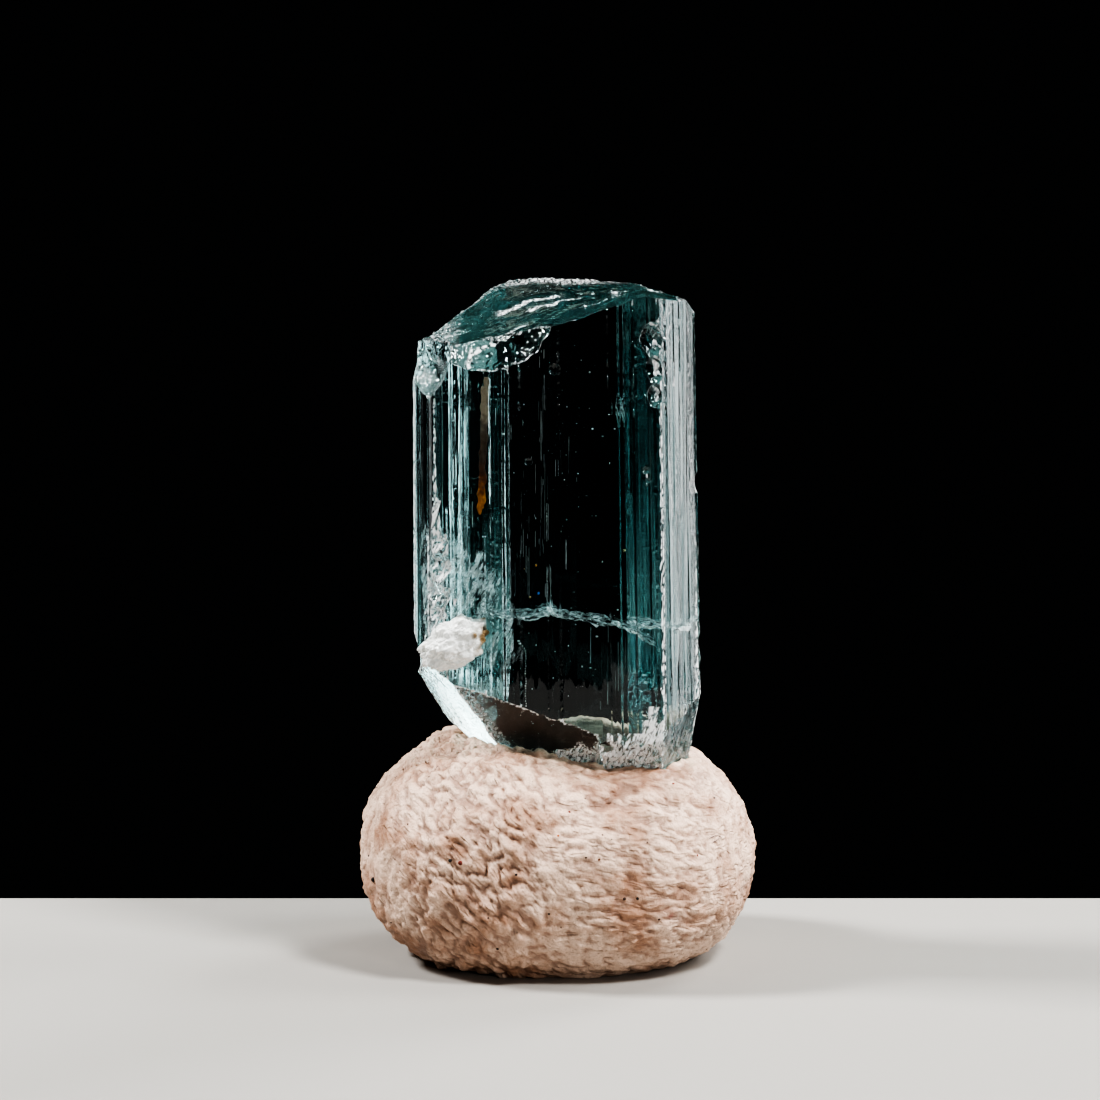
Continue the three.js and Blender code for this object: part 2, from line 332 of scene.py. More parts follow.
def prismCorners():
    sides = prismSides()
    corners = []
    for (a, aDistance), (b, bDistance) in zip([sides[-1]] + sides[:-1], sides):
        cross = a.x * b.y - a.y * b.x
        corners.append(Vector(((aDistance * b.y - bDistance * a.y) / cross,
                               (bDistance * a.x - aDistance * b.x) / cross)))
    return corners


sides, corners = prismSides(), prismCorners()
ridgeWays = [(sides[corner - 1][0] + sides[corner][0]).normalized() for corner in range(6)]


def flareAt(x, z):
    return prism["flare"] * (0.5 + x / prism["width"]) * (prism["flareFrom"] - z)


def striaInset(side, along, height):
    ledgeAlong = along / striae["ledgeWidth"]
    cell = ledgeAlong + 31 * side
    run = noise.cell(Vector((cell, height / striae["runLength"] + side, 3)))
    wall = noise.cell(Vector((cell, 7, 3)))
    line = noise.cell(Vector((along / striae["lineWidth"] + 57 * side, 5, 9)))
    ledge = wall if run < striae["steppedFrom"] else run
    lean = (ledgeAlong % 1 - 0.5) * striae["ledgeTilt"] * (2 * wall - 1) + striae["ledgeTilt"] / 2
    return striae["strength"][side] * (striae["ledgeDepth"] * ledge ** 2 + striae["lineDepth"] * line + lean)


def outlinePoints():
    points = []
    for side, (outward, _) in enumerate(sides):
        start, end = corners[side], corners[(side + 1) % 6]
        length = (end - start).length
        count = round(length / prism["columnWidth"])
        for column in range(count):
            points.append((start.lerp(end, column / count), outward, side, length * column / count, length))
    return points


def makePrism():
    points = outlinePoints()
    # only the order of these points round the axis counts: toOutline moves each to its place
    bpy.ops.mesh.primitive_circle_add(vertices=len(points), radius=8 * mm, fill_type="NGON",
                                      location=(0, 0, prism["bottom"] * mm))
    crystal = namePiece("berylCrystal")
    applyPlace(crystal)
    startEdit(crystal)
    for _ in range(prism["levels"]):
        extrudeUp((prism["top"] - prism["bottom"]) / prism["levels"] * mm)
    endEdit()

    def toOutline(place):
        turn = math.atan2(place.y, place.x) / math.tau
        spot, outward, side, along, length = points[round(turn * len(points)) % len(points)]
        z = place.z / mm
        fade = smoothStep(min(along, length - along), 0, striae["cornerFade"])
        spot = spot - outward * fade * striaInset(side, along, z)
        return Vector(((spot.x + flareAt(spot.x, z)) * mm, spot.y * mm, place.z))

    moveVertices(crystal, toOutline)
    startEdit(crystal)
    turnFacesOut()
    endEdit()
    return crystal


def breakRelief(x, y, layer):
    lumpSize, gritSize, ridgeLength, ridgeWidth = breaks["uneven"]
    lump = noiseAt(x / lumpSize, y / lumpSize, layer)
    grit = noiseAt(x / gritSize, y / gritSize, layer + 5)
    ridge = 1 - abs(noiseAt(x / ridgeLength + 4, y / ridgeWidth, layer + 2)) * 4
    return lump + 0.35 * grit + 0.5 * max(0, ridge)


# How crumbly the broken top is: a share that is high at the back crest and along the ridges.
def crumbleShare(x, y):
    crest = smoothStep(y, *breaks["crest"]) * (1 - smoothStep(x, 3.2, 4.6)) * (0.4 + 0.6 * bell(x, -0.2, 2))
    share = 0.95 * crest
    wave = 0.6 * noiseAt(x, y, 3)
    for start, slope, middle, reach, width in breaks["ridges"]:
        ridge = 1 - smoothStep(abs(y - start - slope * x - wave), 0.3 * width, width)
        share = max(share, 0.8 * ridge * (1 - smoothStep(abs(x - middle), 0.77 * reach, 1.23 * reach)))
    return share


def cornerShare(x):
    return smoothStep(-x, *breaks["corner"])


def terrace(x, y):
    away = (Vector((x, y)) - Vector(breaks["terraceFrom"])).length
    away += 0.7 * noiseAt(x / 2.2, y / 2.2, 8) + 0.12 * noiseAt(x / 0.5, y / 0.5, 8)
    rise = away / breaks["terraceWidth"] % 1
    return breaks["terraceStep"] * (0.5 + smoothStep(rise, 0.88, 1) - rise)


def topHeight(x, y):
    share = smoothStep(y, breaks["topFrontY"], breaks["topBackY"])
    front = alongProfile(breaks["topFront"], x)
    back = alongProfile(breaks["topBack"], x)
    size, cell = breaks["crumbSize"], breaks["crumbCell"]
    crumb = noiseAt(x / size, y / size, 4) + 1.2 * insideCell(Vector((x / cell, y / cell, 4))) - 0.3
    crumble = max(crumbleShare(x, y), 0.75 * cornerShare(x))
    relief = breaks["topRelief"] * breakRelief(x, y, 2) + breaks["crumbRelief"] * crumb * crumble
    dipEnds = 1 - smoothStep(abs(x + 0.8), 2.6, 4.4)
    relief -= breaks["dip"] * bell(y, breaks["dipY"], breaks["dipWidth"]) * dipEnds
    return front + (back - front) * share + relief + terrace(x, y)


def footHeight(x, y):
    rise = breaks["footSlope"] * abs(x - breaks["footMiddle"])
    return breaks["footHeight"] + rise + breaks["footRelief"] * breakRelief(x, y, 9)


def makeBreakRoom():
    size = breaks["roomSize"]
    cells = [round(side / breaks["cell"]) for side in size]
    room = makeSlab("breakRoom", cells, 1, (size[0] * mm, size[1] * mm, 1), mm)

    def toBreak(place):
        x, y = place.x / mm, place.y / mm
        isTop = place.z > 0.5 * mm
        return Vector((place.x, place.y, (topHeight(x, y) if isTop else footHeight(x, y)) * mm))

    moveVertices(room, toBreak)
    return room


def crushShare(place):
    uneven = 0.9 * noiseAt(place.x / 0.7, place.z / 0.5, 6)
    under = alongProfile(crush["rim"], place.x) - place.z + uneven
    return smoothStep(place.x, *crush["right"]) * smoothStep(under, 0, crush["fade"])


def isFootFront(outward):
    return outward[1] < -0.7


def makeFlatCutter(place, outward, layer, lumps, crumbs):
    size, cells = breakFace["size"] * mm, breakFace["cells"]
    cutter = makeSlab("flatCutter", (cells, cells), size, (1, 1, 1), size)
    turn = Vector(outward).to_track_quat("Z", "Y").to_matrix()

    def toBreak(spot):
        x, y = spot.x / mm, spot.y / mm
        relief = 0
        if spot.z < mm:
            rings = math.sin(breakFace["ringRate"] * Vector((x - 3, y + 4)).length)
            rough = noiseAt(x / breakFace["lump"], y / breakFace["lump"], layer)
            cell = Vector((x / breakFace["crumb"], y / breakFace["crumb"], layer))
            height = crumbs
            if isFootFront(outward):
                height += crush["relief"] * crushShare(turn @ spot / mm + Vector(place))
            relief = lumps * rough + height * (2 * insideCell(cell) - 0.5) + breakFace["ringHeight"] * rings
        return turn @ (spot + Vector((0, 0, relief * mm))) + Vector(place) * mm

    moveVertices(cutter, toBreak)
    return cutter


# A long box along one upright edge, with a nibbled inner wall.
def makeEdgeCutter(corner, depths):
    outward = ridgeWays[corner]
    across = Vector((-outward.y, outward.x))
    low, high = depths[0][0], depths[-1][0]
    width, tall = nibbling["width"], high - low
    cells = [round(side / nibbling["cell"]) for side in (width, tall)]
    cutter = makeSlab("edgeCutter", cells, 1, (width * mm, tall * mm, 1), mm)

    def toEdge(spot):
        u, z = spot.x / mm, spot.y / mm + (low + high) / 2
        nibble = noiseAt(u * 1.2, z * 1.2, corner)
        nibble += 0.6 * noiseAt((u - nibbling["lean"] * z) * 3.4, z * 1.5, corner)
        ends = smoothStep(min(z - low, high - z), -0.1, 0.5)
        out = nibbling["outside"]
        if spot.z < 0.5 * mm:
            out = -alongProfile(depths, z) * ends * (1 + 1.1 * nibble) + 0.02
        flat = corners[corner] + across * u + outward * out + Vector((flareAt(corners[corner].x, z), 0))
        return Vector((flat.x, flat.y, z)) * mm

    moveVertices(cutter, toEdge)
    startEdit(cutter)
    turnFacesOut()
    endEdit()
    return cutter


def makeChipCutter(mouth, outward, radius, depth):
    ballRadius = (radius ** 2 + depth ** 2) / (2 * depth)
    middle = Vector(mouth) + Vector(outward).normalized() * (ballRadius - depth)
    addBall(middle * mm, ballRadius, 6 if ballRadius / radius > chipShell["flatFrom"] else 5)
    ball = namePiece("chipCutter")
    applyPlace(ball)
    ripple = chipShell["smallRipple"] if radius < chipShell["bigFrom"] else chipShell["bigRipple"]

    def toShell(place):
        away = place / mm - middle
        spot = place / mm - Vector(mouth)
        turns = chipShell["rings"] * math.tau * (spot + Vector((radius, 0, radius))).length / radius
        rings = chipShell["ringHeight"] * radius * math.sin(turns)
        relief = noise.noise(spot * 1.4) * ripple * radius + rings
        return (middle + away * (1 + relief / away.length)) * mm

    moveVertices(ball, toShell)
    return ball


def makeCrystal():
    crystal = makePrism()
    cutBoolean(crystal, makeBreakRoom(), "INTERSECT")
    print("crystal broken at both ends", len(crystal.data.polygons))
    for layer, (place, outward, _, lumps, crumbs) in enumerate(flatBreaks):
        cutBoolean(crystal, makeFlatCutter(place, outward, layer, lumps, crumbs), "DIFFERENCE")
    print("flat breaks cut", len(crystal.data.polygons))
    for corner, depths in raggedEdges:
        cutBoolean(crystal, makeEdgeCutter(corner, depths), "DIFFERENCE")
    print("edges nibbled", len(crystal.data.polygons))
    for chip in chips:
        cutBoolean(crystal, makeChipCutter(*chip), "DIFFERENCE")
    print("crystal chipped", len(crystal.data.polygons))
    moveVertices(crystal, lambda place: place + specimenShift)
    smoothFaces(crystal, 14)
    return crystal


def isRaggedEdge(place, outward):
    flat = Vector((place.x - flareAt(place.x, place.z), place.y))
    for corner, depths in raggedEdges:
        ridge = ridgeWays[corner]
        isFacing = ridge.x * outward.x + ridge.y * outward.y > 0.8
        if isFacing and (flat - corners[corner]).length < 0.25 + 2.4 * alongProfile(depths, place.z):
            return True
    return False


# Satin wear on a grown side runs in upright streaks; its rims and the front over the heel are crushed.
def sideWear(place, outward, side):
    rim = max(smoothStep(place.x, 6.7, 7.0), smoothStep(-place.x, 6.95, 7.15))
    along = outward.y * place.x - outward.x * place.y
    streak = noiseAt(along / 0.16, side, place.z / 14) + 0.5 * noiseAt(along / 0.5, side, place.z / 8)
    satin = striae["satin"][side] * (0.55 + 0.45 * smoothStep(place.z, 19, 25))
    worn = max(satin * min(1, max(0, 0.55 + 1.1 * streak)), wear["rim"] * rim)
    return max(worn, wear["heelFace"] * crushShare(place)) if side == 0 else worn


def breakWear(place, outward):
    for spot, look, white, _, _ in flatBreaks:
        way = Vector(look).normalized()
        if abs((place - Vector(spot)).dot(way)) < wear["breakReach"] and outward.dot(way) > 0.5:
            return max(white, crushShare(place)) if isFootFront(way) else white
    if outward.z > 0.3 and place.z > wear["topFrom"]:
        white = wear["ridges"] + (wear["crest"] - wear["ridges"]) * smoothStep(place.y, 2.6, 3.6)
        crumbly = white * crumbleShare(place.x, place.y)
        return wear["topBare"] + crumbly + wear["topCorner"] * cornerShare(place.x)
    if place.z < wear["footTo"] and outward.z < -0.3:
        return wear["foot"]
    if isRaggedEdge(place, outward):
        fall = (wear["raggedLow"] - wear["raggedHigh"]) * smoothStep(place.z, *wear["raggedRise"])
        return wear["raggedRight"] if place.x > 0 else wear["raggedLow"] - fall
    return wear["bare"]


def hackleAt(place, outward):
    if place.z > wear["topFrom"] and outward.y < -0.4:
        return wear["hackleChips"]
    middle, reach = wear["calm"]
    return wear["hackleEnds"] if abs(place.z - middle) > reach else wear["hackleMiddle"]


# How far each face is worn white, how strongly its gloss is lined and how hackly its break is.
def markWear(crystal):
    faces = crystal.data.polygons
    frost, lines, hackle = [], [], []
    sideWays = [Vector((outward.x, outward.y, 0)) for outward, _ in sides]
    broken = set()
    for face in faces:
        place, outward = (face.center - specimenShift) / mm, face.normal
        side = max(range(6), key=lambda i: sideWays[i].dot(outward))
        isSide = sideWays[side].dot(outward) > wear["sideCosine"]
        lines.append(striae["lineGloss"][side] if isSide else striae["breakGloss"])
        frost.append(sideWear(place, outward, side) if isSide else breakWear(place, outward))
        hackle.append(0 if isSide else hackleAt(place, outward))
        if not isSide:
            broken.add(face.index)
    beside = {}
    for face in faces:
        for edge in face.edge_keys:
            beside.setdefault(edge, []).append(face)
    for pair in beside.values():
        if len(pair) == 2 and pair[0].normal.angle(pair[1].normal) > wear["edgeAngle"]:
            for face in pair:
                if face.index in broken and face.area < wear["edgeCell"] * mm * mm:
                    rise = smoothStep(face.center.z / mm, *wear["edgeRise"])
                    worn = wear["edgeLow"] - (wear["edgeLow"] - wear["edgeHigh"]) * rise
                    frost[face.index] = max(worn, frost[face.index])
    for name, values in (("frost", frost), ("lines", lines), ("hackle", hackle)):
        addMarks(crystal, name, "FACE", values)


# Beryl, grown and then broken: glassy faces with fine upright lines, breaks that shine where they
# are smooth and go white where they are crushed, and a sea-green body.
def clearBeryl():
    material, tree, surface = startMaterial("clearBeryl", {"Base Color": (1, 1, 1, 1), "IOR": 1.577})
    where = addNode(tree, "TexCoord").outputs["Object"]
    frost, lined, hackly = [addNode(tree, "Attribute", attribute_name=name).outputs["Fac"]
                            for name in ("frost", "lines", "hackle")]
    # lines 0.14 mm and 0.5 mm apart that run for several mm
    fine = addNode(tree, "Mapping", {"Vector": where, "Scale": (7000, 7000, 60)})
    fineLines = addNode(tree, "TexNoise", {"Vector": fine, "Scale": 1, "Detail": 3})
    fineBump = addNode(tree, "Bump", {"Height": fineLines, "Strength": lined, "Distance": 0.02 * mm})
    wide = addNode(tree, "Mapping", {"Vector": where, "Scale": (2000, 2000, 35)})
    wideLines = addNode(tree, "TexNoise", {"Vector": wide, "Scale": 1, "Detail": 1})
    wideBump = addNode(tree, "Bump", {"Height": wideLines, "Strength": lined, "Distance": 0.09 * mm,
                                      "Normal": fineBump})
    # hackles of about 0.3 mm over the breaks
    hackles = addNode(tree, "TexNoise", {"Vector": where, "Scale": 2300, "Detail": 3, "Distortion": 0.6},
                      noise_type="RIDGED_MULTIFRACTAL")
    hackleBump = addNode(tree, "Bump", {"Height": hackles, "Strength": hackly, "Distance": 0.06 * mm,
                                        "Normal": wideBump})
    # crushed splinters of about 0.13 by 0.5 mm that lean to the right
    leant = addNode(tree, "Mapping", {"Vector": where, "Rotation": (0, math.radians(24), 0),
                                      "Scale": (0.13 * mm, 0.13 * mm, 0.5 * mm)}, vector_type="TEXTURE")
    splinters = addNode(tree, "TexNoise", {"Vector": leant, "Scale": 1, "Detail": 4, "Roughness": 0.66})
    crushBump = addNode(tree, "Bump", {"Height": splinters, "Strength": frost, "Distance": 0.24 * mm,
                                       "Normal": hackleBump})
    patchy = addNode(tree, "MapRange", {"Value": splinters, **spans(0.43, 0.55, 0.03, 1.9)})
    white = addNode(tree, "Math", {0: frost, 1: patchy}, operation="MULTIPLY", use_clamp=True)
    rough = addNode(tree, "MapRange", {"Value": white, **spans(0, 1, 0.012, 0.35)})
    clear = addNode(tree, "MapRange", {"Value": white, **spans(0.2, 0.8, 1, 0.06)})
    setInputs(surface, {"Normal": crushBump, "Roughness": rough, "Transmission Weight": clear})
    tint = addNode(tree, "VolumeAbsorption", {"Color": (0.28, 0.6, 0.61, 1), "Density": 110})
    setInputs(tree.nodes["Material Output"], {"Volume": tint})
    return material


crystal = makeCrystal()
markWear(crystal)
crystal.data.materials.append(clearBeryl())
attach(crystal, "root")
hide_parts("beryl_crystal")
print("crystal made")


feldspar = {
    "at": (-5.1, -3.95, 16.55), "halfSize": (1.62, 0.78, 1.05), "tilt": -28,
    "bumpHeight": 0.26, "shardHeight": 0.16, "grainHeight": 0.025,
    "rightEdge": (-4.4, -3.6),  # mm along x over which it turns browner
}


def makeFeldspar():
    bpy.ops.mesh.primitive_ico_sphere_add(subdivisions=6, radius=1)
    crust = namePiece("feldsparCrust")
    turn = Matrix.Rotation(math.radians(feldspar["tilt"]), 3, "Y")

    def toCrust(way):
        bump = noise.noise(way * 2.0) + 0.45 * noise.noise(way * 4.7)
        shard = insideCell(way * 2.6)
        grain = noise.noise(way * 14) + 3 * insideCell(way * 7)
        spot = way * (1 + feldspar["bumpHeight"] * bump + feldspar["shardHeight"] * shard
                      + feldspar["grainHeight"] * grain)
        spot = Vector([a * b for a, b in zip(spot, feldspar["halfSize"])])
        return (turn @ spot + Vector(feldspar["at"])) * mm + specimenShift

    moveVertices(crust, toCrust)
    smoothFaces(crust, 16)
    return crust


# Feldspar, broken and a little weathered: pearly white with cleavage steps, browner at its right edge.
def weatheredFeldspar():
    material, tree, surface = startMaterial(
        "weatheredFeldspar", {"Roughness": 0.32, "IOR": 1.53, "Transmission Weight": 0.12})
    where = addNode(tree, "TexCoord").outputs["Object"]
    low, high = feldspar["rightEdge"]
    mottle = addNode(tree, "TexNoise", {"Vector": where, "Scale": 1500, "Detail": 5})
    apart = addNode(tree, "SeparateXYZ", {"Vector": where})
    rightEdge = addNode(tree, "MapRange", {"Value": apart.outputs["X"], **spans(low * mm, high * mm, 0, 0.3)})
    shade = addNode(tree, "Math", {0: mottle, 1: rightEdge}, operation="SUBTRACT")
    shades = addNode(tree, "ValToRGB", {"Fac": shade})
    setStops(shades.color_ramp, [(0.16, toLinear("8A7048")), (0.36, toLinear("FBFCF8"))])
    cleavage = addNode(tree, "TexVoronoi", {"Vector": where, "Scale": 3200})
    steps = addNode(tree, "Bump", {"Height": cleavage, "Strength": 0.7, "Distance": 0.1 * mm})
    bump = addNode(tree, "Bump", {"Height": mottle, "Strength": 0.5, "Distance": 0.06 * mm, "Normal": steps})
    setInputs(surface, {"Base Color": shades, "Normal": bump})
    return material


crust = makeFeldspar()
crust.data.materials.append(weatheredFeldspar())
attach(crust, "root")
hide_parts("feldspar_patch")
print("feldspar made")


tack = {
    "middle": 5.07, "halfSize": (9.85, 8.8, 6.27), "squareness": 2.4, "offsetY": 0.2,
    "firstCuts": 41, "secondCuts": 2,  # 126 cells along one edge of the cube that it starts from
    "lumpHeight": 0.22, "lumpSize": 3.1,
    "lipHeight": 0.35, "lipWidth": 1.3, "shoulder": (0.3, 0.75),
    "contactGap": 0.03, "contactFrom": 7,  # mm to the crystal, and the height from which it matters
    "wrinkleSize": 0.4, "wrinkleHeight": 0.06,
    "drawnToLevel": (-1.8, 1.2), "ends": (6.6, 8.4),  # mm along x over which one kind of fold gives way
}

# The kneaded skin: soft folds by place. Their slope, how long, wide and high they are in mm, and which
# layer of noise they are cut from.
skinFolds = {
    "drawn": {"slope": -52, "length": 1.1, "width": 0.6, "height": 0.25, "layer": 3},  # left of the middle
    "level": {"slope": -10, "length": 1.2, "width": 0.45, "height": 0.15, "layer": 11},  # right of it
    "upright": {"slope": 84, "length": 2.0, "width": 0.42, "height": 0.12, "layer": 23},  # at both ends
}
wormFold = {"x": 2.9, "z": 9.3, "halfLength": 1.3, "halfWidth": 0.22, "wave": 0.35, "depth": 0.28}

# Thumb dents: the way out from the middle, radius, depth. A depth below 0 is a swelling.
dents = [
    ((-0.62, -0.62, 0.42), 2.3, 0.38),
    ((-0.38, -0.9, 0.1), 1.9, 0.24),
    ((0.25, -0.62, 0.74), 2.8, 0.75),
    ((0.1, -0.92, 0.4), 1.6, 0.2),
    ((0.75, -0.6, 0.3), 2.2, 0.22),
    ((0.9, 0.4, 0.1), 3.0, 0.35),
    ((-0.2, 1.0, 0.2), 3.2, 0.4),
    ((0.26, 0.69, 0.68), 2.6, -1.1),
    ((-0.85, 0.5, -0.05), 2.6, 0.25),
]


def plainReach(way):
    power = tack["squareness"]
    total = sum(abs(part / half) ** power for part, half in zip(way, tack["halfSize"]))
    return total ** (-1 / power)


def dentDepth(way, reach):
    depth = 0
    for outward, radius, deepest in dents:
        away = way.angle(Vector(outward)) * reach
        if away < 3 * radius:
            depth += deepest * bell(away, 0, radius)
    return depth


# Rounded pillows with narrow creases between them, drawn out along a slope.
def foldRelief(p, fold):
    slope, layer = math.radians(fold["slope"]), fold["layer"]
    along = (math.cos(slope) * p.x + math.sin(slope) * p.z) / fold["length"]
    across = (math.cos(slope) * p.z - math.sin(slope) * p.x) / fold["width"]
    bend = 0.5 * noise.noise(p * 0.7 + Vector((0, 0, layer)))
    depth = p.y / fold["length"]
    broad = abs(noiseAt(along, across + bend, depth + layer))
    narrow = abs(noiseAt(along * 2.1, across * 2.3 + bend, depth * 2 + layer + 5))
    return fold["height"] * (1.9 * broad + 0.7 * narrow - 0.5)


def skinRelief(p):
    upright = smoothStep(abs(p.x) + 0.8 * noise.noise(p * 0.5), *tack["ends"])
    right = smoothStep(p.x, *tack["drawnToLevel"])
    shares = {"drawn": (1 - right) * (1 - upright), "level": right * (1 - upright), "upright": upright}
    relief = 0
    for name, share in shares.items():
        if share > 0.01:
            relief += share * foldRelief(p, skinFolds[name])
    worm = Vector(((p.x - wormFold["x"]) / wormFold["halfLength"],
                   (p.z - wormFold["z"] - wormFold["wave"] * math.sin(p.x * 2.2)) / wormFold["halfWidth"]))
    relief -= wormFold["depth"] * smoothStep(-p.y, 1.0, 3.0) * math.exp(-worm.x ** 4 - worm.y ** 2)
    fine = Vector((p.x * 0.7, p.y * 0.7, p.z)) / tack["wrinkleSize"]
    return relief + tack["wrinkleHeight"] * (2 * abs(noise.noise(fine)) + abs(noise.noise(fine * 2.1)) - 0.6)


def makeTack():
    bpy.ops.mesh.primitive_cube_add(size=2)
    lump = namePiece("tackLump")
    startEdit(lump)
    bpy.ops.mesh.subdivide(number_cuts=tack["firstCuts"])
    bpy.ops.mesh.subdivide(number_cuts=tack["secondCuts"])
    endEdit()
    creases = []

    def toLump(spot):
        way = Vector([math.tan(part * math.pi / 4) for part in spot]).normalized()
        reach = plainReach(way)
        broad = tack["lumpHeight"] * noise.noise(way * reach / tack["lumpSize"])
        relief = skinRelief(way * reach + Vector((0, 0, tack["middle"])))
        # painted shade: how deep in a crease each point lies, which the material darkens toward brown
        creases.append(smoothStep(-relief, -0.02, 0.07))
        place = way * (reach + broad + relief - dentDepth(way, reach))
        upper = smoothStep(way.z, *tack["shoulder"])
        outside = max(outward.x * place.x + outward.y * (place.y + tack["offsetY"]) - distance
                      for outward, distance in sides)
        lip = bell(outside, tack["lipWidth"], tack["lipWidth"])
        place.z = max(0, place.z + upper * tack["lipHeight"] * lip + tack["middle"])
        place.y += tack["offsetY"]
        return place * mm + specimenShift

    moveVertices(lump, toLump)
    addMarks(lump, "paintedCreaseShade", "POINT", creases)
    return lump


# The tack is pressed back to a hair's breadth from the crystal's foot.
def seatCrystal(lump, crystal):
    foot = surfaceTree(crystal)
    gap = tack["contactGap"] * mm
    for vertex in lump.data.vertices:
        if vertex.co.z < tack["contactFrom"] * mm:
            continue
        hit = foot.ray_cast(Vector((vertex.co.x, vertex.co.y, 0)), Vector((0, 0, 1)))[0]
        if hit and vertex.co.z > hit.z - gap:
            vertex.co.z = hit.z - gap
        near, outward, _, away = foot.find_nearest(vertex.co, gap)
        if near and away < gap:
            vertex.co = near + outward * gap
    lump.data.update()


# Mineral tack, kneaded by hand: a waxy putty full of fine grit, dull with small glints, with painted shade:
# its creases are darkened to brown.
def kneadedTack():
    material, tree, surface = startMaterial("kneadedTack", {"Specular IOR Level": 0.45})
    where = addNode(tree, "TexCoord").outputs["Object"]
    paintedCreaseShade, stain = [addNode(tree, "Attribute", attribute_name=name).outputs["Fac"]
                     for name in ("paintedCreaseShade", "stain")]
    # stains a few mm wide
    cloud = addNode(tree, "TexNoise", {"Vector": where, "Scale": 380, "Detail": 4, "Roughness": 0.6})
    shades = addNode(tree, "ValToRGB", {"Fac": cloud})
    setStops(shades.color_ramp, [(0.36, toLinear("B58A70")), (0.56, toLinear("EACBB5"))])
    # grit of 0.1 mm
    grit = addNode(tree, "TexNoise", {"Vector": where, "Scale": 8500, "Detail": 3, "Roughness": 0.7})
    gritShade = addNode(tree, "MapRange", {"Value": grit, **spans(0.3, 0.5, 0.55, 0)})
    # painted shade: the creases are darkened toward brown 967260, as shade would fall in them
    paintedCreaseShadeShare = addNode(tree, "Math", {0: paintedCreaseShade, 1: 0.7}, operation="MULTIPLY")
    colour = shades.outputs["Color"]
    # grit, then the painted shade in the creases, then the red stain are laid over the putty's own colour
    for share, over in ((gritShade, "A3826D"), (paintedCreaseShadeShare, "967260"), (stain, "B8404A")):
        mixed = addNode(tree, "Mix", {0: share, 6: colour, 7: toLinear(over)}, data_type="RGBA")
        colour = mixed.outputs[2]
    # small crumples of 0.4 mm that lie level at the right and slant at the left, and the grit itself
    apart = addNode(tree, "SeparateXYZ", {"Vector": where})
    isLevel = addNode(tree, "MapRange", {"Value": apart.outputs["X"], **spans(-2.5 * mm, 1.5 * mm, 0, 1)})
    crumples = []
    for lean in (52, 8):
        lie = addNode(tree, "VectorRotate", {"Vector": where, "Angle": -math.radians(lean)},
                      rotation_type="Y_AXIS")
        drawn = addNode(tree, "Mapping", {"Vector": lie, "Scale": (1400, 1800, 3600)})
        inputs = {"Vector": drawn, "Scale": 1, "Detail": 5, "Distortion": 0.5}
        crumples.append(addNode(tree, "TexNoise", inputs, noise_type="RIDGED_MULTIFRACTAL"))
    crumple = addNode(tree, "Mix", {0: isLevel, 2: crumples[0], 3: crumples[1]})
    crumpleBump = addNode(tree, "Bump", {"Height": crumple, "Strength": 1, "Distance": 0.24 * mm},
                          invert=True)
    gritBump = addNode(tree, "Bump", {"Height": grit, "Strength": 0.8, "Distance": 0.08 * mm,
                                      "Normal": crumpleBump})
    gloss = addNode(tree, "MapRange", {"Value": grit, **spans(0.35, 0.65, 0.65, 0.38)})
    setInputs(surface, {"Base Color": colour, "Roughness": gloss, "Normal": gritBump})
    return material


lump = makeTack()
seatCrystal(lump, crystal)
selectOnly(lump)
bpy.ops.object.shade_smooth()
lump.data.materials.append(kneadedTack())
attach(lump, "root")
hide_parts("tack_lump")
print("tack made", len(lump.data.polygons))


# Dust and mineral grit that putty picks up, by name and sRGB colour.
gritColours = {
    "soot": "1A1714", "umber": "3A2A20", "peat": "4A3020", "ochre": "7A4A2A", "sand": "8A6A50",
    "rust": "7A2A18", "brick": "A03A2A", "amber": "C8702A",
}

# Grit and fluff pressed into the tack: seen from the front and 9.5 degrees up, how far across
# and up each lies in mm, its radius and its colour.
tackBits = {
    "lookDown": 9.5, "lookFrom": 30,
    "grains": [
        (-9.18, 3.85, 0.13, "soot"), (-5.28, 5.0, 0.09, "soot"), (-4.78, 4.9, 0.12, "rust"),
        (-2.03, 4.35, 0.07, "soot"), (0.03, 6.25, 0.07, "amber"), (0.58, 7.4, 0.07, "rust"),
        (5.73, 8.7, 0.06, "brick"), (7.78, 7.95, 0.05, "soot"), (3.93, 3.15, 0.08, "soot"),
        (3.28, 3.15, 0.09, "peat"), (5.0, 2.1, 0.07, "peat"), (6.9, 5.2, 0.05, "brick"),
        (1.4, 5.2, 0.05, "umber"), (-7.4, 6.7, 0.05, "umber"), (2.2, 6.3, 0.05, "umber"),
        (-3.4, 2.2, 0.05, "umber"), (4.4, 5.9, 0.05, "umber"),
    ],
    "looseGrains": 90, "looseRadius": (0.018, 0.05), "looseAbove": 0.3,
    "looseColours": ("umber", "soot", "ochre", "sand"),
    "roundFrom": 0.05, "sunk": 0.25,  # the radius from which grains have more faces, and how far they sink in
    # Short fibres: where they start, the way they lie, length.
    "fibres": [((7.5, 6.0), (0.5, 0.25), 0.55), ((7.7, 5.8), (0.6, 0.35), 0.5),
               ((8.0, 6.1), (0.3, -0.4), 0.3), ((-6.1, 9.3), (0.4, 0.5), 0.4),
               ((-3.2, 12.0), (0.1, 0.5), 0.4)],
    "fibreRadius": 0.014, "fibreSteps": 5,
    # The one red stain: across, up, radius and strength.
    "redStain": (5.6, 2.35, 0.3, 0.5),
}


def lookAtTack(tree, across, up):
    down = math.radians(tackBits["lookDown"])
    ray = Vector((0, math.cos(down), -math.sin(down)))
    start = Vector((across, up * math.sin(down), up * math.cos(down))) * mm + specimenShift
    return tree.ray_cast(start - ray * tackBits["lookFrom"] * mm, ray)[:2]


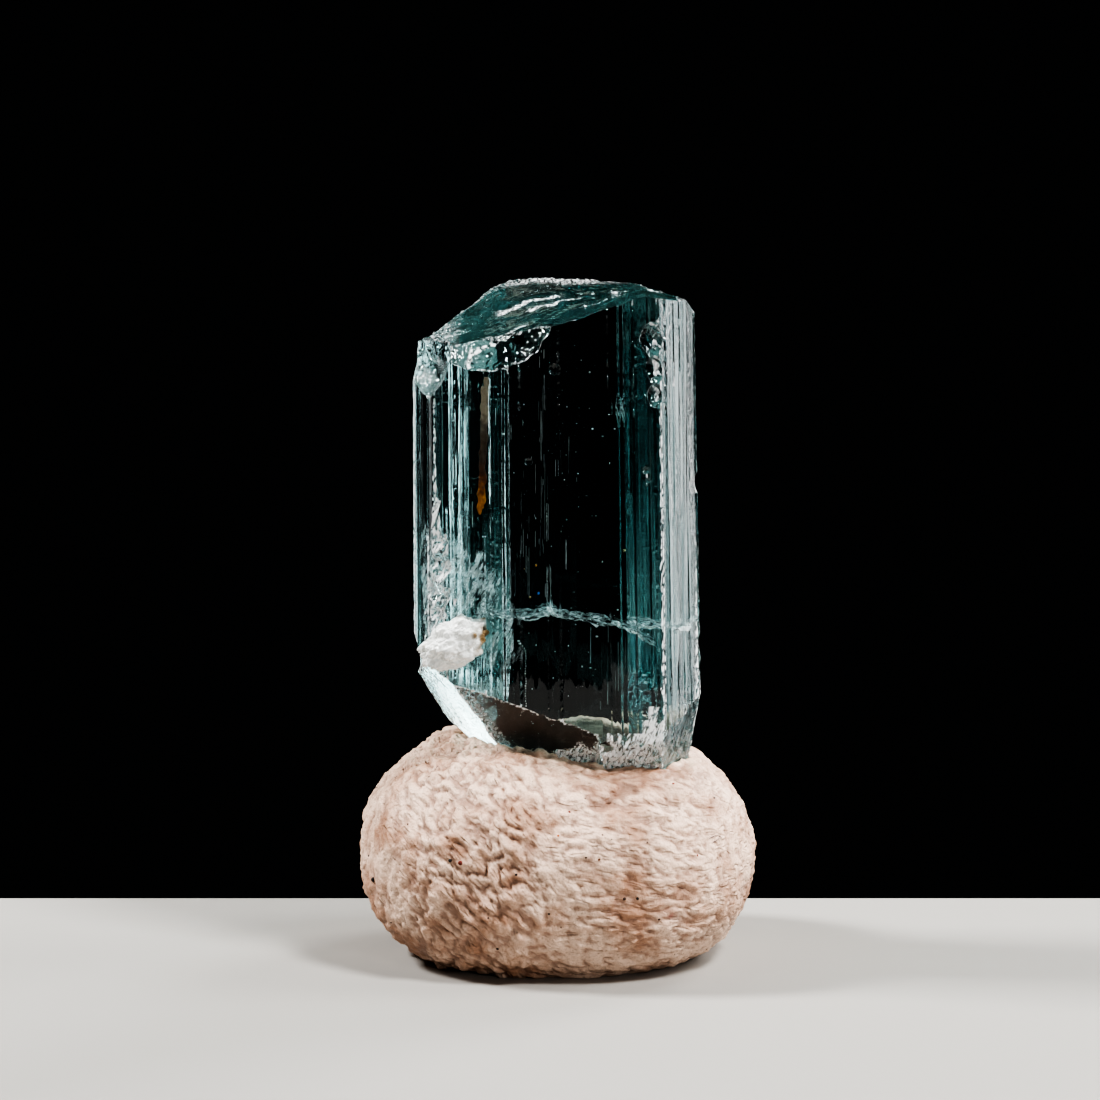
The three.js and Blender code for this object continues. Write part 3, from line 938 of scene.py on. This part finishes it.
# One mineral or fibre colour, mottled a little darker in places.
def colourMaterial(name, hexColour, roughness):
    material, tree, surface = startMaterial(name, {"Roughness": roughness})
    where = addNode(tree, "TexCoord").outputs["Object"]
    colour = toLinear(hexColour)
    mottle = addNode(tree, "TexNoise", {"Vector": where, "Scale": 9000, "Detail": 2})
    shades = addNode(tree, "ValToRGB", {"Fac": mottle})
    setStops(shades.color_ramp, [(0.3, [0.6 * part for part in colour[:3]] + [1]), (0.6, colour)])
    setInputs(surface, {"Base Color": shades})
    return material


def makeTackGrains(tree):
    piece = startJoined("tackGrains")
    spots = [(*lookAtTack(tree, across, up), *kind) for across, up, *kind in tackBits["grains"]]
    least, more = tackBits["looseRadius"]
    for _ in range(tackBits["looseGrains"]):
        way = Vector((random.gauss(0, 1), random.gauss(0, 1), random.gauss(0, 0.6))).normalized()
        start = Vector((0, 0, tack["middle"] * mm)) + way * tackBits["lookFrom"] * mm
        near, outward = tree.ray_cast(start, -way)[:2]
        radius = least + random.random() ** 3 * more
        if near.z > tackBits["looseAbove"] * mm:
            spots.append((near, outward, radius, random.choice(tackBits["looseColours"])))
    kinds = list(gritColours)
    kindOfFace = []
    for near, outward, radius, kind in spots:
        cuts = 1 if radius < tackBits["roundFrom"] else 2
        addBall(near - outward * tackBits["sunk"] * radius * mm, radius, cuts)
        kindOfFace += [kinds.index(kind)] * (20 * 4 ** (cuts - 1))
    endEdit()
    moveVertices(piece, lambda co: co + noise.noise_vector(co * 14000) * 0.02 * mm)
    for kind in kinds:
        piece.data.materials.append(colourMaterial(kind + "Grit", gritColours[kind], 0.6))
    piece.data.polygons.foreach_set("material_index", kindOfFace)
    return piece


def makeFibres(tree):
    piece = startJoined("tackFibres")
    steps = tackBits["fibreSteps"]
    for (across, up), (right, rise), length in tackBits["fibres"]:
        for step in range(steps):
            share = step / steps
            near, outward = lookAtTack(tree, across + right * length * share, up + rise * length * share)
            further = share + 1 / steps
            far, _ = lookAtTack(tree, across + right * length * further, up + rise * length * further)
            if not near or not far:
                continue
            lift = outward * (0.01 + 0.05 * math.sin(math.pi * share)) * mm
            turn = (far - near).to_track_quat("Z", "Y").to_euler()
            bpy.ops.mesh.primitive_cylinder_add(vertices=6, radius=tackBits["fibreRadius"] * mm,
                                                depth=(far - near).length * 1.25,
                                                location=near.lerp(far, 0.5) + lift, rotation=turn)
    endEdit()
    piece.data.materials.append(colourMaterial("darkFluff", "5A5560", 0.8))
    return piece


def stainTack(lump, tree):
    across, up, radius, strength = tackBits["redStain"]
    middle = lookAtTack(tree, across, up)[0]
    stains = []
    for vertex in lump.data.vertices:
        fade = bell((vertex.co - middle).length / mm, 0, radius)
        stains.append(strength * fade * (0.6 + noise.noise(vertex.co * 4000)))
    addMarks(lump, "stain", "POINT", stains)


random.seed(3)
noise.seed_set(3)  # or noise_vector, which roughens the grains, is new in each run
skin = surfaceTree(lump)
stainTack(lump, skin)
for bits in (makeTackGrains(skin), makeFibres(skin)):
    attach(bits, "root")
print("grit and fibres pressed in")


# Cracks inside the crystal, as crumpled sheets: a low-lying healed one and a feathery one on the left.
cracks = {
    "cell": 0.07, "thickness": 0.012, "cutBelow": 0.04,
    # Height of the healed crack's front rim along x, in mm.
    "healedRim": [(-4.2, 18.05), (-2.8, 17.85), (-1.3, 17.77), (-0.3, 17.99), (0.5, 17.8), (1.2, 17.75),
                  (2.7, 17.5), (3.4, 17.22), (4.2, 16.8), (4.9, 16.4)],
    "healedRise": 0.02, "healedFront": -4.4,  # mm up for each mm back, and where its rim is
    "starX": -0.3,  # where the healed crack flares up and shines
    "shelfRim": [(3.4, 17.4), (5.2, 17.22), (6.9, 17.3)], "shelfRise": 0.05, "shelfFront": -4,
    "featherRim": [(-7.2, 21.5), (-6.4, 22.6), (-5.6, 22.3), (-4.6, 21.8), (-3.4, 21.0), (-2.4, 19.2),
                   (-1.6, 17.8)],
    "featherBottom": (15.0, 16.2), "featherFall": 0.22,  # it goes deeper by this for each mm up
    "window": (-5.6, 18.4),  # a clear gap in the feathery one
}


# A sheet of cells over a u-w area, placed by toPlace and kept where toCover isn't nothing.
def makeSheet(name, uSpan, wSpan, toPlace, toCover):
    across, along = uSpan[1] - uSpan[0], wSpan[1] - wSpan[0]
    bpy.ops.mesh.primitive_grid_add(x_subdivisions=round(across / cracks["cell"]),
                                    y_subdivisions=round(along / cracks["cell"]), size=1)
    sheet = namePiece(name)
    covers = []
    for vertex in sheet.data.vertices:
        u = uSpan[0] + (vertex.co.x + 0.5) * across
        w = wSpan[0] + (vertex.co.y + 0.5) * along
        covers.append(min(1, max(0, toCover(u, w))))
        vertex.co = Vector(toPlace(u, w)) * mm + specimenShift
    addMarks(sheet, "cover", "POINT", covers)
    startEdit(sheet)
    bpy.ops.mesh.select_all(action="DESELECT")
    endEdit()
    for face in sheet.data.polygons:
        face.select = max(covers[v] for v in face.vertices) < cracks["cutBelow"]
    bpy.ops.object.mode_set(mode="EDIT")
    bpy.ops.mesh.delete(type="FACE")
    bpy.ops.mesh.select_all(action="SELECT")
    bpy.ops.mesh.delete_loose()
    endEdit()
    modifier = sheet.modifiers.new("wall", "SOLIDIFY")
    modifier.thickness = cracks["thickness"] * mm
    bpy.ops.object.modifier_apply(modifier="wall")
    return sheet


def crumple(u, w, layer):
    return (noiseAt(u * 1.1, w * 1.1, layer) * 0.22 + noiseAt(u * 3.4, w * 3.4, layer) * 0.12
            + noiseAt(u * 8, w * 8, layer) * 0.05)


# Wisps: broad ones and finer ones over them, each with how close they stand along u and w.
def wisps(u, w, layer, broad, finer, share):
    return noiseAt(u * broad[0], w * broad[1], layer) + share * noiseAt(u * finer[0], w * finer[1], layer)


def leanOver(u, w, degrees):
    lean = math.radians(degrees)
    return u * math.cos(lean) + w * math.sin(lean), w * math.cos(lean) - u * math.sin(lean)


def healedPlace(x, y):
    z = alongProfile(cracks["healedRim"], x) + cracks["healedRise"] * (y - cracks["healedFront"])
    flick = 0.25 * bell(x, cracks["starX"], 0.3) * noiseAt(x * 5, y * 5, 1)
    return x, y, z + 1.2 * crumple(x, y, 2) + flick


def healedCover(x, y):
    ends = smoothStep(x, -4.4, -2.6) * (1 - smoothStep(x, 4.4, 5.0))
    deep = 1 - smoothStep(y, -3.9, 0.4)
    broken = 0.6 + 0.9 * noiseAt(x * 1.7, 2, 4)
    veil = 0.38 + 1.5 * wisps(x, y, 7, (0.8, 2.8), (3.2, 7), 0.7)
    return ends * deep * (broken * veil + 1.2 * bell(x, cracks["starX"], 0.4))


def shelfPlace(x, y):
    rise = cracks["shelfRise"] * (y - cracks["shelfFront"])
    return x, y, alongProfile(cracks["shelfRim"], x) + rise + crumple(x, y, 4)


def shelfCover(x, y):
    inside = 1 - smoothStep(0.87 * x + 0.5 * -y, 7.6, 8.1)
    fades = inside * smoothStep(x, 3.3, 4.4) * (1 - smoothStep(y, -2.5, 0.5))
    return fades * (0.55 + 0.9 * wisps(x, y, 17, (1.4, 2.3), (4, 6), 0.5))


# The feathery crack: u along the front, w up it, leaning back as it goes left.
def featherPlace(u, w):
    bottom = cracks["featherBottom"][0]
    depth = 0.35 + cracks["featherFall"] * (w - bottom) + 0.3 * smoothStep(-u, 4.5, 6.5)
    along, across = leanOver(u, w, 55)
    rib = 0.2 * noiseAt(along * 0.7, across * 3.4, 2)
    return u, -4.4 - 0.0875 * u + depth + crumple(u, w, 6) + rib, w


def featherCover(u, w):
    rim = alongProfile(cracks["featherRim"], u) + 0.8 * noiseAt(u * 3, 1, 1)
    inside = smoothStep(rim - w, 0, 0.8) * smoothStep(w, *cracks["featherBottom"])
    inside *= 1 - 0.7 * smoothStep(u, -4.2, -3.0)
    inside *= 1 - smoothStep(u, -2.6, -1.5)
    gapU, gapW = cracks["window"]
    window = bell(u, gapU, 0.5) * bell(w, gapW, 1.1)
    along, across = leanOver(u, w, 58 + 26 * smoothStep(u, -6.2, -4.2))
    feather = wisps(along, across, 5, (0.5, 2.6), (1.3, 7.5), 0.8)
    return inside * (1 - 0.8 * window) * (0.3 + 2.6 * feather)


# A crack in beryl: air between broken walls, white and icy with glints, thinning to nothing in wisps.
def icyCrack(name, lean, scale):
    material, tree, surface = startMaterial(
        name, {"Base Color": toLinear("FAFFFF"), "Metallic": 0.5, "Roughness": 0.24})
    where = addNode(tree, "TexCoord").outputs["Object"]
    cover = addNode(tree, "Attribute", attribute_name="cover").outputs["Fac"]
    leant = addNode(tree, "VectorRotate", {"Vector": where, "Angle": math.radians(lean)},
                    rotation_type="Y_AXIS")
    drawn = addNode(tree, "Mapping", {"Vector": leant, "Scale": scale})
    grain = addNode(tree, "TexNoise", {"Vector": drawn, "Scale": 1, "Detail": 4, "Roughness": 0.65})
    broken = addNode(tree, "MapRange", {"Value": grain, **spans(0.44, 0.6, 0.05, 2.4)})
    opaque = addNode(tree, "Math", {0: cover, 1: broken}, operation="MULTIPLY", use_clamp=True)
    bump = addNode(tree, "Bump", {"Height": grain, "Strength": 0.7, "Distance": 0.06 * mm})
    setInputs(surface, {"Alpha": opaque, "Normal": bump})
    return material


levelFinish = icyCrack("icyLevelCrack", 0, (2600, 5200, 9000))
featherFinish = icyCrack("icyFeather", -28, (8500, 5000, 1700))
for sheet, finish in (
    (makeSheet("healedCrack", (-4.4, 5.0), (-4.15, 0.5), healedPlace, healedCover), levelFinish),
    (makeSheet("shelfCrack", (3.3, 6.6), (-4.0, 0.5), shelfPlace, shelfCover), levelFinish),
    (makeSheet("featherCrack", (-6.6, -1.5), (15.0, 23.2), featherPlace, featherCover), featherFinish),
):
    sheet.data.materials.append(finish)
    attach(sheet, "root")
print("cracks made")


# What grew or seeped into the crystal.
inclusions = {
    "tube": {"top": (-3.5, -3.2, 29.75), "tip": (-3.78, -3.18, 22.9), "radius": 0.16, "levels": 110,
             "shaded": (22.9, 29.8)},  # heights over which its colours run
    # Columns of fine threads: x, y, lowest and highest z, how many, spread in mm.
    "threads": [
        (-0.74, -3.3, 20.6, 31.2, 30, 0.07),
        (-0.54, -3.3, 21.6, 23.5, 8, 0.04),
        (0.46, -3.4, 20.2, 21.7, 6, 0.03),
        (-0.4, -3.35, 18.1, 20.5, 14, 0.1),
        (-1.75, -3.2, 20.8, 22.2, 8, 0.25),
        (-1.9, -2.9, 18.6, 21.6, 18, 0.45),
        (-1.6, -3.0, 22.0, 29.5, 16, 0.75),
        (0.3, -3.0, 24.5, 28.0, 5, 0.3),
        (2.6, 1.0, 12.6, 17.0, 16, 0.5),
        (-4.6, -2.6, 18, 30, 24, 0.9),
    ],
    "threadRadius": 0.003, "threadLength": (0.12, 2.6),
    "beads": {"x": -1.55, "y": -3.45, "low": 12.95, "high": 16.6, "count": 30, "radius": 0.045},
    "specks": 150, "speckRadius": (0.012, 0.045), "speckReach": 4.5,
    # Single grains: place, radius, colour.
    "grains": [
        ((-1.04, -3.32, 20.4), 0.075, "E08A2A"),
        ((-0.89, -3.34, 19.0), 0.06, "5B8FE0"),
        ((3.31, -3.7, 21.2), 0.09, "B4B78C"),
        ((-1.6, -3.3, 20.2), 0.04, "C98A4A"),
        ((-1.3, -3.3, 18.8), 0.05, "D8A060"),
    ],
}


# A hollow growth tube filled with rust: pale clay above, amber at the pointed end.
def rustFilling():
    material, tree, surface = startMaterial("rustFilling", {"Roughness": 0.55})
    where = addNode(tree, "TexCoord").outputs["Object"]
    apart = addNode(tree, "SeparateXYZ", {"Vector": where})
    low, high = inclusions["tube"]["shaded"]
    share = addNode(tree, "MapRange", {"Value": apart.outputs["Z"], **spans(low * mm, high * mm, 0, 1)})
    mottle = addNode(tree, "TexNoise", {"Vector": where, "Scale": 3200, "Detail": 4})
    moved = addNode(tree, "Math", {0: mottle, 1: 0.5, 2: share}, operation="MULTIPLY_ADD")
    shades = addNode(tree, "ValToRGB", {"Fac": moved})
    stops = [(0.24, "D9820F"), (0.44, "7A3F12"), (0.66, "4A2D1E"), (0.86, "5E4C3E"), (1.0, "93836E")]
    setStops(shades.color_ramp, [(position, toLinear(colour)) for position, colour in stops])
    bump = addNode(tree, "Bump", {"Height": mottle, "Strength": 0.8, "Distance": 0.08 * mm})
    setInputs(surface, {"Base Color": shades, "Normal": bump})
    return material


def makeGrowthTube():
    tube = inclusions["tube"]
    top, tip = Vector(tube["top"]), Vector(tube["tip"])
    bpy.ops.mesh.primitive_circle_add(vertices=20, radius=1, fill_type="NGON")
    piece = namePiece("growthTube")
    startEdit(piece)
    for _ in range(tube["levels"]):
        extrudeUp(1 / tube["levels"])
    turnFacesOut()
    endEdit()

    def toTube(spot):
        share = spot.z
        middle = tip.lerp(top, share)
        taper = smoothStep(share, -0.03, 0.06) * (1 - 0.3 * smoothStep(share, 0.85, 1.0))
        ragged = 1 + 0.8 * noiseAt(spot.x * 1.3, spot.y * 1.3, share * 16)
        ragged += 0.35 * noiseAt(spot.x * 3, spot.y * 3, share * 50)
        out = Vector((spot.x, spot.y * 0.6, 0)) * tube["radius"] * taper * ragged
        return (middle + out) * mm + specimenShift

    moveVertices(piece, toTube)
    selectOnly(piece)
    bpy.ops.object.shade_smooth()
    return piece


random.seed(7)


def makeThreads():
    piece = startJoined("whiteThreads")
    least, more = inclusions["threadLength"]
    for x, y, low, high, count, spread in inclusions["threads"]:
        for _ in range(count):
            length = min(high - low, least + random.random() ** 2 * more)
            across = random.gauss(x, spread), random.gauss(y, 0.15)
            middle = Vector((*across, random.uniform(low, high - length) + length / 2))
            radius = inclusions["threadRadius"] * random.uniform(0.6, 2.2)
            bpy.ops.mesh.primitive_cylinder_add(vertices=5, radius=radius * mm, depth=length * mm,
                                                location=middle * mm + specimenShift)
    endEdit()
    return piece


# A chain of beads that hooks to the left at both ends.
def makeBeads():
    beads = inclusions["beads"]
    piece = startJoined("beadChain")
    for step in range(beads["count"]):
        share = step / (beads["count"] - 1)
        hook = 0.35 * smoothStep(share, 0.86, 1.0) + 0.25 * smoothStep(0.1 - share, 0, 0.1)
        place = Vector((beads["x"] - hook + random.gauss(0, 0.015), beads["y"],
                        beads["low"] + share * (beads["high"] - beads["low"])))
        addBall(place * mm + specimenShift, beads["radius"] * random.uniform(0.6, 1.2), 1)
    endEdit()
    return piece


def makeSpecks():
    piece = startJoined("paleSpecks")
    least, more = inclusions["speckRadius"]
    for _ in range(inclusions["specks"]):
        place = Vector((random.gauss(0.2, 2.2), random.uniform(-3.9, 2.5), random.uniform(13.5, 31)))
        if abs(place.x) <= inclusions["speckReach"]:
            addBall(place * mm + specimenShift, least + random.random() ** 3 * more, 1)
    endEdit()
    return piece


tube = makeGrowthTube()
tube.data.materials.append(rustFilling())
whiteMineral = colourMaterial("whiteMineral", "F4F6F4", 0.3)
grown = [tube]
for piece in (makeThreads(), makeBeads(), makeSpecks()):
    piece.data.materials.append(whiteMineral)
    grown.append(piece)
for index, (place, radius, colour) in enumerate(inclusions["grains"]):
    addBall(Vector(place) * mm + specimenShift, radius, 2)
    grain = namePiece("grain" + str(index + 1))
    applyPlace(grain)
    moveVertices(grain, lambda co: co + Vector((0, 0, 0.03 * noise.noise(co * 30000) * mm)))
    grain.data.materials.append(colourMaterial("grainMineral" + str(index + 1), colour, 0.3))
    grown.append(grain)
for piece in grown:
    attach(piece, "root")
print("inclusions made", len(grown))


# A pale card to stand on, which ends close behind the specimen, so that the crystal shows dark behind.
board = {"width": 150, "front": -80, "back": 13, "thickness": 4, "corner": 1.2}
bpy.ops.mesh.primitive_cube_add(size=1, location=(0, (board["front"] + board["back"]) / 2 * mm,
                                                  -board["thickness"] / 2 * mm))
floor = namePiece("floor")
floor.scale = (board["width"] * mm, (board["back"] - board["front"]) * mm, board["thickness"] * mm)
applyPlace(floor)
startEdit(floor, "EDGE")
bpy.ops.mesh.bevel(offset=board["corner"] * mm, segments=4)
endEdit()
paleCard, _, _ = startMaterial("paleCard", {"Base Color": toLinear("9E9B96"), "Roughness": 0.8})
floor.data.materials.append(paleCard)

world = bpy.data.worlds.new("dimRoom")
world.use_nodes = True
world.node_tree.nodes["Background"].inputs["Color"].default_value = (0.006, 0.0065, 0.007, 1)
bpy.context.scene.world = world


def aimFrom(holder, back, place):
    holder.location = place
    holder.rotation_mode = "QUATERNION"
    holder.rotation_quaternion = back.to_track_quat("Z", "Y")
    bpy.context.scene.collection.objects.link(holder)


def softbox(name, azimuth, elevation, distance, width, height, power):
    a, e = math.radians(azimuth), math.radians(elevation)
    way = Vector((math.cos(a) * math.cos(e), math.sin(a) * math.cos(e), math.sin(e)))
    light = bpy.data.lights.new(name, "AREA")
    light.shape = "RECTANGLE"
    light.size, light.size_y = width * mm, height * mm
    light.energy = power
    lamp = bpy.data.objects.new(name, light)
    lamp.visible_camera = False
    aimFrom(lamp, way, way * distance * mm + Vector((0, 0, 18 * mm)))


# Each box: azimuth from +X, elevation, distance, width and height in mm, power in watts.
# The prism's inner faces mirror the two low strips: the right one lights them, and the left one leaves
# the narrow left face nearly dark. The rest are broad boxes, and a small low one lights the heel.
softbox("rightStrip", 20, -3, 260, 62, 130, 0.115)
softbox("leftBackStrip", 128, -3, 260, 62, 130, 0.013)
softbox("backRightBox", 45, 27, 260, 95, 95, 0.4)
softbox("backBox", 92, 62, 260, 45, 35, 0.022)
softbox("rightBox", 5, 32, 270, 85, 85, 0.3)
softbox("leftBox", 172, 42, 270, 50, 50, 0.95)
softbox("keyBox", -38, 54, 270, 50, 50, 0.76)
softbox("lowFrontBox", -62, 12, 270, 45, 30, 0.14)

cameraSet = {"elevation": 9.5, "distance": 300, "target": (-0.325, 0, 20.53), "across": 55, "sensor": 36}
angle = math.radians(cameraSet["elevation"])
camera = bpy.data.cameras.new("camera")
camera.sensor_width = cameraSet["sensor"]
camera.lens = cameraSet["sensor"] * cameraSet["distance"] / cameraSet["across"]
camera.clip_start, camera.clip_end = 0.01, 5
cameraObject = bpy.data.objects.new("camera", camera)
back = Vector((0, -math.cos(angle), math.sin(angle)))
aimFrom(cameraObject, back, (Vector(cameraSet["target"]) + back * cameraSet["distance"]) * mm)

bpy.context.scene.camera = cameraObject

scene = bpy.context.scene
scene.cycles.max_bounces = 24
scene.cycles.transmission_bounces = 24
scene.cycles.glossy_bounces = 12
scene.view_settings.view_transform = "AgX"
scene.view_settings.look = "AgX - Very High Contrast"
